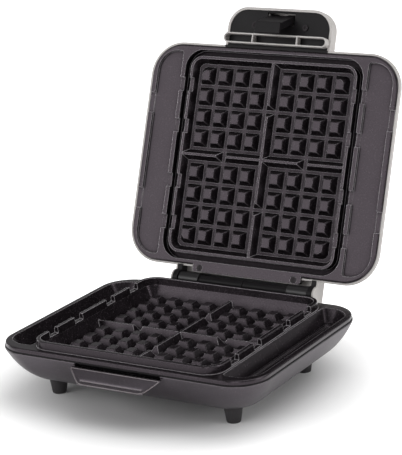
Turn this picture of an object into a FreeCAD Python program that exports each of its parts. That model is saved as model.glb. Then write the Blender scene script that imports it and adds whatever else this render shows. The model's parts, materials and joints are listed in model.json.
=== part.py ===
import FreeCAD, Part
import math
import os

# Square four-slice waffle maker, standing open on its feet.
# X runs to the right, Y to the back, Z up. The origin is on the table under the middle of the base.
# Lid pieces are drawn closed and turned about the hinge at the end.

# Both baking plates, in plan
plate_width = 280.0
plate_depth = 226.0
plate_corner = 33.0
plate_edge = 5.2
plate_edge_round = 1.5
plate_wall = 3.2
ledge_height = 56.5
plate_gap = 0.6

# Waffle grid
cells_per_quarter = 4
grid_side_margin = 51.85
grid_end_margin = 17.85
cell_channel = 3.1
quarter_gap = 14.0
pyramid_height = 7.5
pyramid_run = 4.2
pyramid_round = 0.7
ridge_crest = 2.2
cavity_corner = 6.0
lower_floor_drop = 13.0
upper_floor_rise = 8.0

# Bead, groove and dam around the grid
cavity_run = 4.4
bead_width = 2.6
groove_width = 6.6
groove_depth = 8.8
dam_thickness = 3.6
dam_height = 7.4
dam_draft = 1.0
dam_round = 1.0
dam_side_gap = 0.6
groove_back_wall = 1.0
vent_length = 14.0
vent_depth = 2.6
dam_vent_sill = 1.6
rim_notch_length = 21.0
rim_notch_depth = 2.0

# Drip troughs of the lower plate and flat side panels of the upper one
side_rim = 5.5
trough_step = 1.6
trough_end = 12.0
trough_depth = 16.0
trough_inner_run = 6.0
trough_outer_run = 8.0
trough_inner_corner = 4.0
trough_outer_corner = 22.0
corner_spacing = 1.6
trough_floor_round = 4.0
trough_round_steps = 4
panel_land = 4.4
panel_end = 6.5
panel_depth = 2.8
panel_inner_corner = 3.0
panel_outer_corner = 22.0

# Base bowl: an upright band, then a wall that leans in from its tilt to a flat bottom
bowl_overhang = 0.8
bowl_wall = 2.4
seat_gap = 0.2
bowl_band = 0.8
bowl_depth = 35.0
bowl_inset = 37.0
bowl_tilt = 40.0
bowl_bottom_corner = 18.0
shell_steps = 6

# Feet and the long screws that hold foot, bowl and lower plate
foot_side_inset = 44.5
foot_end_inset = 42.6
foot_top_radius = 9.2
foot_bottom_radius = 6.6
foot_round = 1.2
foot_seat_gap = 0.05
boss_radius = 6.0
foot_pillar_radius = 4.6
foot_pillar_drop = 8.5
foot_pillar_length = 14.0
foot_screw_radius = 2.0
foot_screw_head_radius = 3.5
foot_screw_head_height = 2.4
foot_screw_sink = 3.0
foot_screw_cover = 3.0
screw_clearance = 0.15

# Catch lip and vent at the front of the base
lip_drop = 8.3
lip_height = 11.2
lip_top_half = 48.2
lip_bottom_half = 34.5
lip_top_out = 4.5
lip_bottom_out = 16.0
lip_root = 8.0
lip_wall = 2.2
lip_round = 5.0
grille_gap = 0.3
grille_margin = 3.0
grille_thickness = 2.0
grille_ribs = 4
grille_rib_height = 1.3

# Hinge
hinge_back = 15.5
hinge_rise = 1.0
open_angle = 110.6
hinge_pin_radius = 2.5
hinge_running_clearance = 0.06
hinge_press_clearance = 0.01
ear_radius = 7.5
ear_inner = 51.0
ear_outer = 73.5
hinge_side_gap = 1.2
hinge_block_height = 14.0
hinge_block_depth = 9.5
hinge_block_root = 14.0
cheek_radius = 8.6
cheek_wall = 7.0
neck_roof_gap = 4.0
neck_roof_wall = 3.0
sleeve_radius = 5.6
sleeve_end_gap = 0.5
hinge_pin_inner = 30.0
hinge_pin_blind = 2.0
stop_half_width = 8.0
stop_place = 34.0
stop_gap = 0.35

# Lid shell, which holds the upper plate inside its rim
lid_rim_rise = 1.6
lid_wall = 2.0
plate_side_gap = 0.3
lid_band = 3.8
lid_dome_rise = 34.0
lid_side_inset = 46.0
lid_end_inset = 26.0
lid_tilt = 35.0
lid_top_corner = 18.0

# Handle, its insert and its collar
handle_half_width = 59.5
handle_reach = 43.0
handle_corner = 21.5
handle_rise = 3.2
handle_height = 16.0
handle_top_round = 5.5
handle_rim = 2.6
insert_sink = 1.0
insert_thickness = 2.0
insert_clearance = 0.15
collar_side_inset = 0.9
collar_width = 10.6
collar_place = 9.7
collar_wall = 1.4
collar_height = 8.0
collar_rib_place = 25.3

# Latch
latch_half_width = 14.0
latch_pivot_back = 9.5
latch_pivot_height = 6.6
latch_hub_radius = 4.0
latch_pin_radius = 1.5
latch_foot_height = 2.6
latch_catch_gap = 0.5
latch_grip = 3.0
latch_shank = 7.2
latch_shank_gap = 1.8
latch_toe_bevel = 1.2
latch_window_margin = 1.6
latch_window_gap = 1.3
latch_window_swing = 3.3
latch_lug_wall = 3.0
latch_side_gap = 0.5
latch_spring_half = 5.0
latch_spring_wire = 0.4
latch_spring_gap = 0.35
latch_spring_turns = 5

# Small screws
insert_screw_x = 29.0
insert_screw_back = 18.5
insert_screw_radius = 1.5
insert_screw_head_radius = 3.2
insert_screw_head_height = 1.4
insert_screw_length = 9.0
insert_boss_radius = 3.6
tongue_half_width = 62.0
tongue_gap = 1.0
tongue_corner = 3.0
plate_screw_x = 54.0
plate_screw_edge = 3.8
plate_screw_radius = 1.8
plate_screw_head_radius = 3.4
plate_screw_head_height = 1.7
plate_screw_length = 9.5
plate_boss_radius = 3.0
cross_slot_length = 3.6
cross_slot_width = 0.8
cross_slot_depth = 0.8

# Heating elements, clamps and heat shields
element_radius = 3.2
element_inset = 27.0
element_back_inset = 39.0
element_end_inset = 15.0
element_bend = 16.0
element_end_x = 18.0
element_gap = 0.15
clamp_half_length = 11.0
clamp_half_width = 6.0
clamp_sheet = 1.2
shield_inset = 4.5
shield_corner = 12.0
shield_height = 10.5
shield_sheet = 0.8
shield_notch_half = 30.0
shield_notch_depth = 8.0

# Electrical pieces
thermostat_radius = 8.0
thermostat_height = 7.0
thermostat_y = 10.0
tab_width = 4.8
tab_thickness = 0.8
tab_length = 8.0
fuse_radius = 2.0
fuse_half_length = 7.0
fuse_x = 32.0
fuse_clip_wall = 0.8
block_half_x = 24.0
block_half_y = 8.0
block_gap = 1.2
block_place = 20.0
block_bore_radius = 1.8
lead_radius = 1.2
lead_bend = 5.0
lead_end_gap = 0.3
lead_back_inset = 9.0
gland_side_inset = 36.0
gland_drop = 21.5
gland_bore_radius = 3.8
gland_body_radius = 6.0
gland_flange_radius = 9.0
gland_flange = 2.4
gland_nose = 6.0
gland_inside = 11.0
gland_pad_radius = 11.0
gland_pad_out = 1.5
gland_clearance = 0.1
lamp_radius = 4.0
lamp_flange_radius = 5.2
lamp_flange = 1.0
lamp_flange_round = 0.6
lamp_spacing = 22.0
lamp_place = 52.0
lamp_depth = 5.0
lamp_clearance = 0.15
lamp_bulb_radius = 2.2
lamp_bulb_length = 9.0
lamp_holder_wall = 1.6
lamp_holder_height = 11.0

# Places that follow from the sizes above
half_width = plate_width / 2
half_depth = plate_depth / 2
land_height = ledge_height + plate_gap
floor_x = half_width - grid_side_margin
floor_y = half_depth - grid_end_margin
field_x = floor_x - cell_channel
field_y = floor_y - cell_channel
cell_pitch_x = (field_x + cell_channel / 2 - quarter_gap / 2) / cells_per_quarter
cell_pitch_y = (field_y + cell_channel / 2 - quarter_gap / 2) / cells_per_quarter
groove_inner = cavity_run + bead_width
groove_outer = groove_inner + groove_width
dam_outer = groove_inner + (groove_width + dam_thickness) / 2
dam_inner = dam_outer - dam_thickness
dam_foot = groove_inner + dam_side_gap
lower_floor = ledge_height - lower_floor_drop
lower_back = lower_floor - plate_wall
upper_floor = land_height + upper_floor_rise
upper_back = land_height + groove_depth + plate_wall
plate_seat = land_height + plate_edge + seat_gap
trough_inner = floor_x + dam_outer + dam_draft + trough_step
trough_outer = half_width - side_rim
panel_inner = floor_x + groove_outer + panel_land
base_rim = ledge_height - plate_edge - seat_gap
bowl_x = half_width + bowl_overhang
bowl_y = half_depth + bowl_overhang
bowl_corner = plate_corner + bowl_overhang
bowl_bottom = base_rim - bowl_depth
bowl_floor = bowl_bottom + bowl_wall
foot_x = half_width - foot_side_inset
foot_y = half_depth - foot_end_inset
foot_pillar_top = ledge_height - foot_pillar_drop
foot_pillar_bottom = foot_pillar_top - foot_pillar_length
foot_screw_top = foot_pillar_top - foot_screw_cover
lip_top = ledge_height - lip_drop
lip_bottom = lip_top - lip_height
lip_back = -(half_depth - lip_root)
lip_bottom_y = -(half_depth + lip_bottom_out)
hinge_y = half_depth + hinge_back
hinge_z = ledge_height + hinge_rise
cheek_inner = ear_outer + hinge_side_gap
cheek_outer = cheek_inner + cheek_wall
block_root = half_depth - hinge_block_root
roof_under = hinge_z + ear_radius + neck_roof_gap
roof_back = hinge_y + cheek_radius
tongue_end = hinge_y - ear_radius - tongue_gap
lid_overhang = plate_side_gap + lid_wall
lid_x = half_width + lid_overhang
lid_y = half_depth + lid_overhang
lid_corner = plate_corner + lid_overhang
lid_rim = land_height + lid_rim_rise
lid_roof = lid_rim + lid_band + lid_dome_rise
handle_front = -(half_depth + handle_reach)
handle_under = land_height + handle_rise
handle_top = handle_under + handle_height
insert_under = handle_under + insert_sink
insert_top = insert_under + insert_thickness
insert_screw_y = handle_front + insert_screw_back
plate_screw_y = tongue_end - plate_screw_edge
collar_y = -(half_depth + collar_place)
collar_half_length = handle_half_width - collar_side_inset
latch_y = handle_front + latch_pivot_back
latch_z = handle_under + latch_pivot_height
latch_foot_top = lip_bottom - latch_catch_gap
latch_toe_y = lip_bottom_y + latch_grip
latch_inner_y = lip_bottom_y - latch_shank_gap
latch_outer_y = latch_inner_y - latch_shank
element_low_z = lower_back - element_gap - element_radius
element_high_z = upper_back + element_gap + element_radius
element_half_x = floor_x - element_inset
element_front_y = element_inset - floor_y
element_back_y = floor_y - element_back_inset
element_end_y = floor_y - element_end_inset
shield_half_x = floor_x - shield_inset
shield_half_y = floor_y - shield_inset
shield_low = lower_back - seat_gap - shield_height
block_place_y = element_end_y - block_place
block_top = shield_low - block_gap
block_middle = (bowl_floor + block_top) / 2
lead_back_y = floor_y - lead_back_inset
gland_x = half_width - gland_side_inset
gland_z = ledge_height - gland_drop
gland_face = bowl_y + gland_pad_out

vector = FreeCAD.Vector
up_axis = vector(0, 0, 1)
right_axis = vector(1, 0, 0)
back_axis = vector(0, 1, 0)
sides = (-1, 1)

# Points closer than this are one point, and an edge runs along an axis from this share of its direction
same_point = 0.0001
along_share = 0.9


def opened(shape):
    # Turns a lid piece from its closed place to the open one
    turned = shape.copy()
    turned.rotate(vector(0, hinge_y, hinge_z), right_axis, -open_angle)
    return turned


def box(x0, x1, y0, y1, z0, z1):
    return Part.makeBox(x1 - x0, y1 - y0, z1 - z0, vector(x0, y0, z0))


def rod(radius, start, axis, length):
    return Part.makeCylinder(radius, length, vector(*start), axis)


def tube(outer_radius, inner_radius, start, axis, length):
    return rod(outer_radius, start, axis, length).cut(rod(inner_radius, start, axis, length))


def rectangle(x0, x1, y0, y1, z):
    return [vector(x0, y0, z), vector(x1, y0, z), vector(x1, y1, z), vector(x0, y1, z)]


def rounded_edges(points, radii, closed):
    # Straight runs between the points, with a tangent arc of each point's radius
    count = len(points)
    edges = []
    first = None
    last = None
    for i in range(count):
        point = points[i]
        radius = radii[i]
        bends = radius > 0 and (closed or 0 < i < count - 1)
        enter = point
        leave = point
        if bends:
            before = (points[i - 1] - point).normalize()
            after = (points[(i + 1) % count] - point).normalize()
            half_turn = before.getAngle(after) / 2
            reach = radius / math.tan(half_turn)
            enter = point + before * reach
            leave = point + after * reach
            middle = point + (before + after).normalize() * (radius / math.sin(half_turn) - radius)
        if last is not None and last.distanceToPoint(enter) > same_point:
            edges.append(Part.makeLine(last, enter))
        if bends:
            edges.append(Part.Arc(enter, middle, leave).toShape())
        if first is None:
            first = enter
        last = leave
    if closed and last.distanceToPoint(first) > same_point:
        edges.append(Part.makeLine(last, first))
    return edges


def outline(points, radii):
    return Part.Wire(rounded_edges(points, radii, True))


def rounded_rectangle(half_x, half_y, corner, z, middle_y=0.0):
    points = rectangle(-half_x, half_x, middle_y - half_y, middle_y + half_y, z)
    return outline(points, [corner] * 4)


def prism(wire, height):
    return Part.Face(wire).extrude(vector(0, 0, height))


def ruled(*wires):
    return Part.makeLoft(list(wires), True, True)


def profile_along_x(points, x0, x1):
    # Closed outline in the YZ plane, drawn from x0 to x1
    corners = [vector(x0, y, z) for y, z in points]
    wire = Part.makePolygon(corners + corners[:1])
    return Part.Face(wire).extrude(vector(x1 - x0, 0, 0))


def swept_rod(points, radius, bend):
    path = Part.Wire(rounded_edges(points, [bend] * len(points), False))
    ring = Part.Wire(Part.Circle(points[0], points[1] - points[0], radius).toShape())
    return path.makePipeShell([ring], True, True)


def mirrored(shape):
    return shape.mirror(vector(0, 0, 0), right_axis)


def both_sides(shape):
    return [shape, mirrored(shape)]


def edges_at_height(shape, z):
    return [edge for edge in shape.Edges if all(abs(v.Z - z) < same_point for v in edge.Vertexes)]


def ring_plan(offset, z):
    # Outline of the cavity floor, moved outward by the offset
    return rounded_rectangle(floor_x + offset, floor_y + offset, cavity_corner + offset, z)


def side_plan(x_in, x_out, half_y, inner_corner, outer_corner, z):
    # D-shaped outline beside the grid, on the right; its outer corners leave room for the inner ones
    points = rectangle(x_in, x_out, -half_y, half_y, z)
    outer = min(outer_corner, x_out - x_in - inner_corner - corner_spacing)
    return outline(points, [inner_corner, outer, outer, inner_corner])


def closed_rectangle(half_x, half_y, z):
    points = rectangle(-half_x, half_x, -half_y, half_y, z)
    return Part.makePolygon(points + points[:1])


def one_pyramid(floor, rise):
    # Blunt pyramid on a cavity floor, at the middle of the plate
    half_x = (cell_pitch_x - cell_channel) / 2
    half_y = (cell_pitch_y - cell_channel) / 2
    base = closed_rectangle(half_x, half_y, floor)
    top = closed_rectangle(half_x - pyramid_run, half_y - pyramid_run, floor + rise)
    block = ruled(base, top)
    foot = [edge.hashCode() for edge in edges_at_height(block, floor)]
    raised = [edge for edge in block.Edges if edge.hashCode() not in foot]
    return block.makeFillet(pyramid_round, raised)


def cell_places():
    across = [quarter_gap / 2 + (i + 0.5) * cell_pitch_x for i in range(cells_per_quarter)]
    along = [quarter_gap / 2 + (i + 0.5) * cell_pitch_y for i in range(cells_per_quarter)]
    return [(sx * x, sy * y) for x in across for y in along for sx in sides for sy in sides]


def pyramids(floor, rise):
    # The grid's outer corners are rounded, so the four end pyramids are trimmed to that outline
    field = ruled(
        rounded_rectangle(field_x, field_y, cavity_corner, floor),
        rounded_rectangle(field_x - pyramid_run, field_y - pyramid_run, cavity_corner, floor + rise),
    )
    pattern = one_pyramid(floor, rise)
    reach_x = field_x - cell_pitch_x
    reach_y = field_y - cell_pitch_y
    blocks = []
    for x, y in cell_places():
        block = pattern.copy()
        block.translate(vector(x, y, 0))
        if abs(x) > reach_x and abs(y) > reach_y:
            block = block.common(field)
        blocks.append(block)
    return blocks


def ridge(start, end, start_hip, end_hip, floor, rise):
    # Bar along X between two of the grid's quarters, with a sloping end where it has a hip
    half_base = (quarter_gap - cell_channel) / 2
    half_crest = ridge_crest / 2
    foot = rectangle(start, end, -half_base, half_base, floor)
    crest = rectangle(start + start_hip, end - end_hip, -half_crest, half_crest, floor + rise)
    return ruled(Part.makePolygon(foot + foot[:1]), Part.makePolygon(crest + crest[:1]))


def ridges(floor, rise):
    # A cross in the middle and a bar at each wall, parted by the channel in the middle of each quarter
    hip = (quarter_gap - cell_channel - ridge_crest) / 2
    bars = []
    for turn, pitch, wall in ((0, cell_pitch_x, floor_x), (90, cell_pitch_y, floor_y)):
        split = quarter_gap / 2 + cells_per_quarter * pitch / 2
        inner_end = split - cell_channel / 2
        outer_start = split + cell_channel / 2
        outer_end = wall + cavity_run
        lengths = [ridge(-inner_end, inner_end, hip, hip, floor, rise)]
        lengths.append(ridge(outer_start, outer_end, hip, 0, floor, rise))
        lengths.append(ridge(-outer_end, -outer_start, 0, hip, floor, rise))
        for bar in lengths:
            bar.rotate(vector(0, 0, 0), up_axis, turn)
        bars += lengths
    return bars


def vent_places():
    # Vents line up with the channels between the first and second and the third and fourth rows
    steps = range(1, cells_per_quarter, 2)
    return [side * (quarter_gap / 2 + i * cell_pitch_y) for i in steps for side in sides]


def rim_notch_places():
    middle = quarter_gap / 2 + cells_per_quarter * cell_pitch_y / 2
    return [-middle, middle]


def foot_places():
    return [(sx * foot_x, sy * foot_y) for sx in sides for sy in sides]


def side_hollow(grow, mouth, floor):
    # D-shaped trough on the right: sloping sides that round into its floor; grow moves its sides outward
    half_y = half_depth - trough_end + grow
    round_start = floor + trough_floor_round
    levels = [(0, 0, mouth), (1, 0, round_start)]
    for i in range(1, trough_round_steps + 1):
        angle = math.radians(90.0 * i / trough_round_steps)
        inward = trough_floor_round * (1 - math.cos(angle))
        levels.append((1, inward, round_start - trough_floor_round * math.sin(angle)))
    sections = []
    for slope, inward, z in levels:
        x_in = trough_inner - grow + slope * trough_inner_run + inward
        x_out = trough_outer + grow - slope * trough_outer_run - inward
        inner_radius = trough_inner_corner + grow
        outer_radius = trough_outer_corner + grow - slope * trough_outer_run - inward
        end_y = half_y - slope * trough_outer_run - inward
        sections.append(side_plan(x_in, x_out, end_y, inner_radius, outer_radius, z))
    return ruled(*sections)


def plate_slab(low, round_at):
    slab = prism(rounded_rectangle(half_width, half_depth, plate_corner, low), plate_edge)
    return slab.makeFillet(plate_edge_round, edges_at_height(slab, round_at))


def make_lower_plate():
    dam_top = ledge_height + dam_height
    slab_low = ledge_height - plate_edge
    slab = plate_slab(slab_low, ledge_height)
    dam = ruled(ring_plan(dam_outer + dam_draft, slab_low), ring_plan(dam_outer, dam_top))
    dam = dam.makeFillet(dam_round, edges_at_height(dam, dam_top))
    tub = ruled(ring_plan(plate_wall, lower_back), ring_plan(dam_foot + plate_wall, ledge_height))
    dam_inside = ring_plan(dam_inner, dam_top)
    cavity = ruled(ring_plan(0, lower_floor), ring_plan(dam_foot, ledge_height), dam_inside)
    trough_floor = ledge_height - trough_depth
    trough_back = side_hollow(plate_wall, ledge_height - plate_edge / 2, trough_floor - plate_wall)
    trough = side_hollow(0, ledge_height, trough_floor)
    added = [dam, tub] + both_sides(trough_back)
    cuts = [cavity] + both_sides(trough)
    for y in vent_places():
        low = ledge_height + dam_vent_sill
        vent = box(floor_x, trough_inner, y - vent_length / 2, y + vent_length / 2, low, dam_top)
        cuts += both_sides(vent)
    hole_radius = foot_screw_radius + screw_clearance
    for x, y in foot_places():
        start = (x, y, foot_pillar_bottom)
        added.append(rod(foot_pillar_radius, start, up_axis, foot_pillar_top - foot_pillar_bottom))
        cuts.append(rod(hole_radius, start, up_axis, foot_screw_top + screw_clearance - foot_pillar_bottom))
    body = slab.fuse(added).cut(cuts)
    raised = pyramids(lower_floor, pyramid_height) + ridges(lower_floor, pyramid_height)
    return body.fuse(raised).removeSplitter()


def make_upper_plate():
    slab = plate_slab(land_height, land_height)
    block_low = land_height + plate_edge / 2
    block_high = ring_plan(groove_outer + groove_back_wall, upper_back)
    block = ruled(ring_plan(groove_outer + plate_wall, block_low), block_high)
    tongue_plan = rectangle(-tongue_half_width, tongue_half_width, 0, tongue_end, land_height)
    tongue = prism(outline(tongue_plan, [0, 0, tongue_corner, tongue_corner]), plate_edge)
    cuts = [ruled(ring_plan(0, upper_floor), ring_plan(cavity_run, land_height))]
    groove = prism(ring_plan(groove_outer, land_height), groove_depth)
    cuts.append(groove.cut(prism(ring_plan(groove_inner, land_height), groove_depth)))
    panel_half_y = half_depth - panel_end
    corners = (panel_inner_corner, panel_outer_corner)
    panel = side_plan(panel_inner, trough_outer, panel_half_y, *corners, land_height)
    cuts += both_sides(prism(panel, panel_depth))
    vent_half = vent_length / 2
    vent_top = land_height + vent_depth
    for y in vent_places():
        vent = box(floor_x, panel_inner, y - vent_half, y + vent_half, land_height, vent_top)
        cuts += both_sides(vent)
    notch_half = rim_notch_length / 2
    notch_top = land_height + rim_notch_depth
    for y in rim_notch_places():
        notch = box(trough_outer, half_width, y - notch_half, y + notch_half, land_height, notch_top)
        cuts += both_sides(notch)
    shank_hole = plate_screw_radius + screw_clearance
    head_hole = plate_screw_head_radius + screw_clearance
    for side in sides:
        start = (side * plate_screw_x, plate_screw_y, land_height)
        cuts.append(rod(shank_hole, start, up_axis, plate_edge))
        cuts.append(rod(head_hole, start, up_axis, plate_screw_head_height + seat_gap))
    body = slab.fuse([block, tongue]).cut(cuts)
    raised = pyramids(upper_floor, -pyramid_height) + ridges(upper_floor, -pyramid_height)
    return body.fuse(raised).removeSplitter()


def domed_solid(plan, rim, band, rise, insets, tilt, end_corner, way):
    # Upright band, then a dome that starts at the tilt and ends level, way up or down
    half_x, half_y, corner = plan
    inset_x, inset_y = insets
    upright = prism(rounded_rectangle(half_x, half_y, corner, rim), way * band)
    start = math.radians(tilt)
    sections = []
    for i in range(shell_steps + 1):
        angle = start + (math.pi / 2 - start) * i / shell_steps
        share = 1 - math.cos(angle) / math.cos(start)
        climb = (math.sin(angle) - math.sin(start)) / (1 - math.sin(start))
        radius = corner - (corner - end_corner) * share
        z = rim + way * (band + rise * climb)
        sections.append(rounded_rectangle(half_x - inset_x * share, half_y - inset_y * share, radius, z))
    return upright.fuse(Part.makeLoft(sections, True, False))


def bowl_solid(trim):
    # The bowl's outside, with its walls moved inward by trim
    plan = (bowl_x - trim, bowl_y - trim, bowl_corner - trim)
    depth = bowl_depth - bowl_band - trim
    insets = (bowl_inset, bowl_inset)
    return domed_solid(plan, base_rim, bowl_band, depth, insets, bowl_tilt, bowl_bottom_corner, -1)


def lid_solid(trim):
    # The lid's outside, with its walls moved inward by trim
    plan = (lid_x - trim, lid_y - trim, lid_corner - trim)
    insets = (lid_side_inset, lid_end_inset)
    return domed_solid(plan, lid_rim, lid_band, lid_dome_rise - trim, insets, lid_tilt, lid_top_corner, 1)


def lip_solid(trim):
    # Catch lip: a trapezoid trough that leans outward to its lower edge
    top_front = -(half_depth + lip_top_out) + trim
    bottom_front = lip_bottom_y + trim
    top = rectangle(trim - lip_top_half, lip_top_half - trim, top_front, lip_back, lip_top)
    low = lip_bottom + trim
    bottom = rectangle(trim - lip_bottom_half, lip_bottom_half - trim, bottom_front, lip_back, low)
    return ruled(Part.makePolygon(bottom + bottom[:1]), Part.makePolygon(top + top[:1]))


def make_base_housing():
    bowl = bowl_solid(0)
    lip = lip_solid(0)
    lip_ends = [edge for edge in edges_at_height(lip, lip_bottom) if abs(edge.tangentAt(0).y) > along_share]
    lip = lip.makeFillet(lip_round, lip_ends)
    block_low = base_rim - hinge_block_height
    block_high = base_rim - seat_gap
    block_back = bowl_y + hinge_block_depth
    block = box(-ear_outer, ear_outer, block_root, block_back, block_low, block_high)
    web = [
        (block_root, block_low),
        (block_root, block_high),
        (bowl_y, block_high),
        (hinge_y - ear_radius, hinge_z),
        (hinge_y + ear_radius, hinge_z),
        (block_back, block_low),
    ]
    added = [lip, block]
    cuts = [bowl_solid(bowl_wall)]
    pin_hole = hinge_pin_radius + hinge_press_clearance
    for x0, x1 in ((ear_inner, ear_outer), (-ear_outer, -ear_inner)):
        start = (x0, hinge_y, hinge_z)
        added.append(profile_along_x(web, x0, x1))
        added.append(rod(ear_radius, start, right_axis, x1 - x0))
        cuts.append(rod(pin_hole, start, right_axis, x1 - x0))
    stop_top = hinge_z - sleeve_radius - hinge_side_gap
    swing = opened(box(-lid_x, lid_x, 0, roof_back + stop_gap, roof_under - stop_gap, lid_roof))
    for side in sides:
        x = side * stop_place
        rib = box(x - stop_half_width, x + stop_half_width, block_root, roof_back, block_low, stop_top)
        added.append(rib.cut(swing))
    pad_root = half_depth - gland_pad_radius
    added.append(rod(gland_pad_radius, (gland_x, pad_root, gland_z), back_axis, gland_face - pad_root))
    body = bowl.fuse(added)
    lip_mouth_half = lip_top_half - lip_wall
    mouth_y = -(half_depth + lip_top_out) + lip_wall
    cuts.append(lip_solid(lip_wall))
    cuts.append(box(-lip_mouth_half, lip_mouth_half, mouth_y, lip_back, lip_top, base_rim))
    cuts.append(rod(gland_body_radius + gland_clearance, (gland_x, 0, gland_z), back_axis, gland_face))
    body = body.cut(cuts)
    bosses = []
    holes = []
    for x, y in foot_places():
        boss = rod(boss_radius, (x, y, 0), up_axis, foot_pillar_bottom - seat_gap)
        bosses.append(boss.common(bowl))
        holes.append(rod(foot_screw_radius + screw_clearance, (x, y, 0), up_axis, foot_pillar_bottom))
    return body.fuse(bosses).cut(holes).removeSplitter()


def make_front_vent_grille():
    # Panel with level slots that follows the inside of the bowl behind the catch lip
    outside = bowl_wall + grille_gap
    half = lip_top_half + grille_margin
    low = lip_bottom + lip_wall
    high = base_rim - seat_gap
    layer = bowl_solid(outside).cut(bowl_solid(outside + grille_thickness))
    panel = layer.common(box(-half, half, -bowl_y, 0, low, high))
    step = (high - low) / (grille_ribs + 1)
    slots = []
    for i in range(grille_ribs + 1):
        z = low + i * step
        slots.append(box(-lip_top_half, lip_top_half, -bowl_y, 0, z + grille_rib_height, z + step))
    return panel.cut(slots)


def make_foot(x, y):
    block = Part.makeCone(foot_bottom_radius, foot_top_radius, bowl_bottom, vector(x, y, 0), up_axis)
    block = block.makeFillet(foot_round, edges_at_height(block, 0))
    block = block.fuse(rod(foot_top_radius, (x, y, bowl_bottom), up_axis, foot_top_radius))
    head_top = foot_screw_sink + foot_screw_head_height
    head_bore = rod(foot_screw_head_radius + screw_clearance, (x, y, 0), up_axis, head_top)
    shank_bore = rod(foot_screw_radius + screw_clearance, (x, y, 0), up_axis, bowl_bottom + foot_top_radius)
    return block.cut([bowl_solid(-foot_seat_gap), head_bore, shank_bore]).removeSplitter()


def screw(x, y, head_low, head_radius, head_height, shank_radius, shank_length):
    # Upright screw with its cross-slotted head below
    head = rod(head_radius, (x, y, head_low), up_axis, head_height)
    shank = rod(shank_radius, (x, y, head_low), up_axis, head_height + shank_length)
    half = cross_slot_length / 2
    thin = cross_slot_width / 2
    top = head_low + cross_slot_depth
    slots = [box(x - half, x + half, y - thin, y + thin, head_low, top)]
    slots.append(box(x - thin, x + thin, y - half, y + half, head_low, top))
    return head.fuse(shank).cut(slots)


def make_foot_screws():
    length = foot_screw_top - foot_screw_sink - foot_screw_head_height
    head = (foot_screw_sink, foot_screw_head_radius, foot_screw_head_height)
    return Part.makeCompound([screw(x, y, *head, foot_screw_radius, length) for x, y in foot_places()])


def make_hinge_pin(side):
    length = cheek_outer - hinge_pin_blind - hinge_side_gap / 2 - hinge_pin_inner
    start = hinge_pin_inner if side > 0 else -hinge_pin_inner - length
    return rod(hinge_pin_radius, (start, hinge_y, hinge_z), right_axis, length)


def make_hinge_sleeve(side):
    length = ear_inner - 2 * sleeve_end_gap
    start = sleeve_end_gap if side > 0 else -sleeve_end_gap - length
    bore = hinge_pin_radius + hinge_running_clearance
    return tube(sleeve_radius, bore, (start, hinge_y, hinge_z), right_axis, length)


def handle_plan(trim, back, z):
    # D-shaped outline of the handle, moved inward by trim, up to the given back edge
    half = handle_half_width - trim
    corner = handle_corner - trim
    return outline(rectangle(-half, half, handle_front + trim, back, z), [corner, corner, 0, 0])


def make_lid_housing():
    shell = lid_solid(0)
    grip = prism(handle_plan(0, -(half_depth - handle_rim), handle_under), handle_height)
    grip = grip.makeFillet(handle_top_round, edges_at_height(grip, handle_top))
    roof_top = roof_under + neck_roof_wall
    added = [grip, box(-cheek_outer, cheek_outer, block_root, roof_back, roof_under, roof_top)]
    pin_start = (cheek_inner, hinge_y, hinge_z)
    pin_length = cheek_wall - hinge_pin_blind
    pin_bore = rod(hinge_pin_radius + hinge_running_clearance, pin_start, right_axis, pin_length)
    cheek = rod(cheek_radius, pin_start, right_axis, cheek_wall)
    arm = box(cheek_inner, cheek_outer, half_depth + hinge_side_gap, roof_back, hinge_z, roof_top)
    added += both_sides(cheek.fuse(arm))
    cuts = both_sides(pin_bore) + [lid_solid(lid_wall)]
    handle_roof = handle_top - handle_rim
    cuts.append(prism(handle_plan(handle_rim, -lid_y, handle_under), handle_height - handle_rim))
    tongue_room = tongue_half_width + plate_side_gap
    room_back = tongue_end + plate_side_gap
    cuts.append(box(-tongue_room, tongue_room, half_depth, room_back, land_height, plate_seat))
    for side in sides:
        boss_start = (side * plate_screw_x, plate_screw_y, plate_seat)
        added.append(rod(plate_boss_radius, boss_start, up_axis, roof_under - plate_seat))
        cuts.append(rod(plate_screw_radius + screw_clearance, boss_start, up_axis, roof_top - plate_seat))
        cuts.append(rod(lamp_radius + lamp_clearance, lamp_start(side), up_axis, lamp_depth))
    body = shell.fuse(added).cut(cuts)
    inside = []
    holes = []
    for side in sides:
        start = (side * insert_screw_x, insert_screw_y, insert_top)
        inside.append(rod(insert_boss_radius, start, up_axis, handle_roof - insert_top))
        holes.append(rod(insert_screw_radius + screw_clearance, start, up_axis, insert_screw_length))
    lug_in = latch_half_width + latch_side_gap
    lug_out = lug_in + latch_lug_wall
    lug_low = insert_top + seat_gap
    half = latch_hub_radius
    lug = box(lug_in, lug_out, latch_y - half, latch_y + half, lug_low, handle_roof)
    inside += both_sides(lug)
    hole_radius = latch_pin_radius + hinge_press_clearance
    holes.append(rod(hole_radius, (-lug_out, latch_y, latch_z), right_axis, 2 * lug_out))
    return body.fuse(inside).cut(holes).removeSplitter()


def lamp_start(side):
    return (side * lamp_spacing / 2, -lamp_place, lid_roof - lamp_depth)


def make_handle_insert():
    back = -(lid_y + insert_clearance)
    plate = prism(handle_plan(handle_rim + insert_clearance, back, insert_under), insert_thickness)
    half = latch_half_width + latch_window_margin
    share = (insert_under - latch_foot_top) / (latch_z - latch_foot_top)
    shank_front = latch_outer_y + share * (latch_y - latch_hub_radius - latch_outer_y)
    shank_back = latch_inner_y + share * (latch_y + latch_hub_radius - latch_inner_y)
    window_front = shank_front - latch_window_swing
    window_back = shank_back + latch_window_gap
    cuts = [box(-half, half, window_front, window_back, insert_under, insert_top)]
    for side in sides:
        start = (side * insert_screw_x, insert_screw_y, insert_under)
        cuts.append(rod(insert_screw_radius + screw_clearance, start, up_axis, insert_thickness))
    return plate.cut(cuts)


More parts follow.
